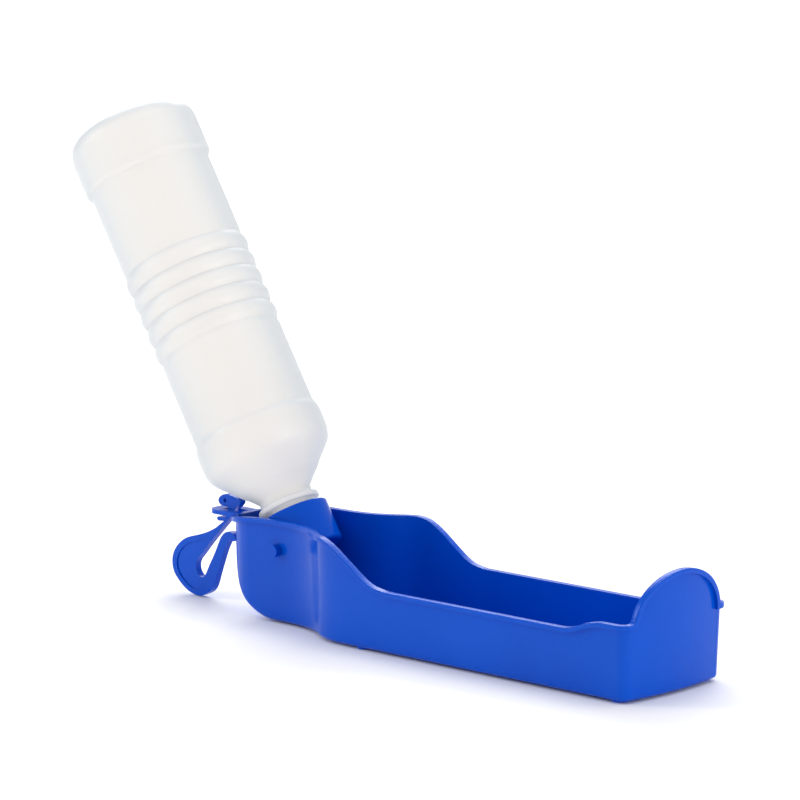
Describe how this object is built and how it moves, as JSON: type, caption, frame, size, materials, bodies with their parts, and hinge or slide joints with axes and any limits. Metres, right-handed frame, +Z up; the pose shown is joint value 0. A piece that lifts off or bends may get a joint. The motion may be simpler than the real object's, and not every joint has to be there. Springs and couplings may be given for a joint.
{
  "type": "folding pet water bottle",
  "caption": "Squeeze water bottle hinged to a blue drinking trough it folds into, with a slit valve cap and a moulded carry hook.",
  "frame": {"origin": "middle of the overall length and width, on the resting plane under the feet", "axes": "+X along the trough to the arched end wall, +Y across the trough along the hinge, +Z up"},
  "size_m": [0.4026, 0.077, 0.258],
  "materials": {
    "blue_pp": "gloss",
    "milky_pe": "satin",
    "silicone": "matte"
  },
  "bodies": {
    "trough": {"tray": "blue_pp"},
    "cap": {"hinge_cap": "blue_pp", "outlet_valve": "silicone"},
    "seal": {"neck_seal": "silicone"},
    "bottle": {"bottle": "milky_pe"},
    "clip": {"carry_clip": "blue_pp"}
  },
  "joints": [
    {"name": "bottle_fold", "type": "hinge", "parent": "trough", "child": "cap", "pos_m": [-0.04837, 0, 0.038], "axis": [0, 1, 0], "range_deg": [0, 121.8]},
    {"name": "thread_travel", "type": "slide", "parent": "cap", "child": "seal", "axis": [-0.527, 0, 0.8499], "range_m": [0, 0.00085]},
    {"name": "bottle_turn", "type": "hinge", "parent": "seal", "child": "bottle", "pos_m": [-0.04837, 0, 0.038], "axis": [-0.527, 0, 0.8499], "range_deg": [0, 72]},
    {"name": "clip_rock", "type": "hinge", "parent": "trough", "child": "clip", "pos_m": [-0.10637, 0, 0.0483], "axis": [0, 1, 0], "range_deg": [0, 24]}
  ],
  "couplings": [
    {"joint": "thread_travel", "follows": "bottle_turn", "m_per_rad": 0.00067322}
  ]
}
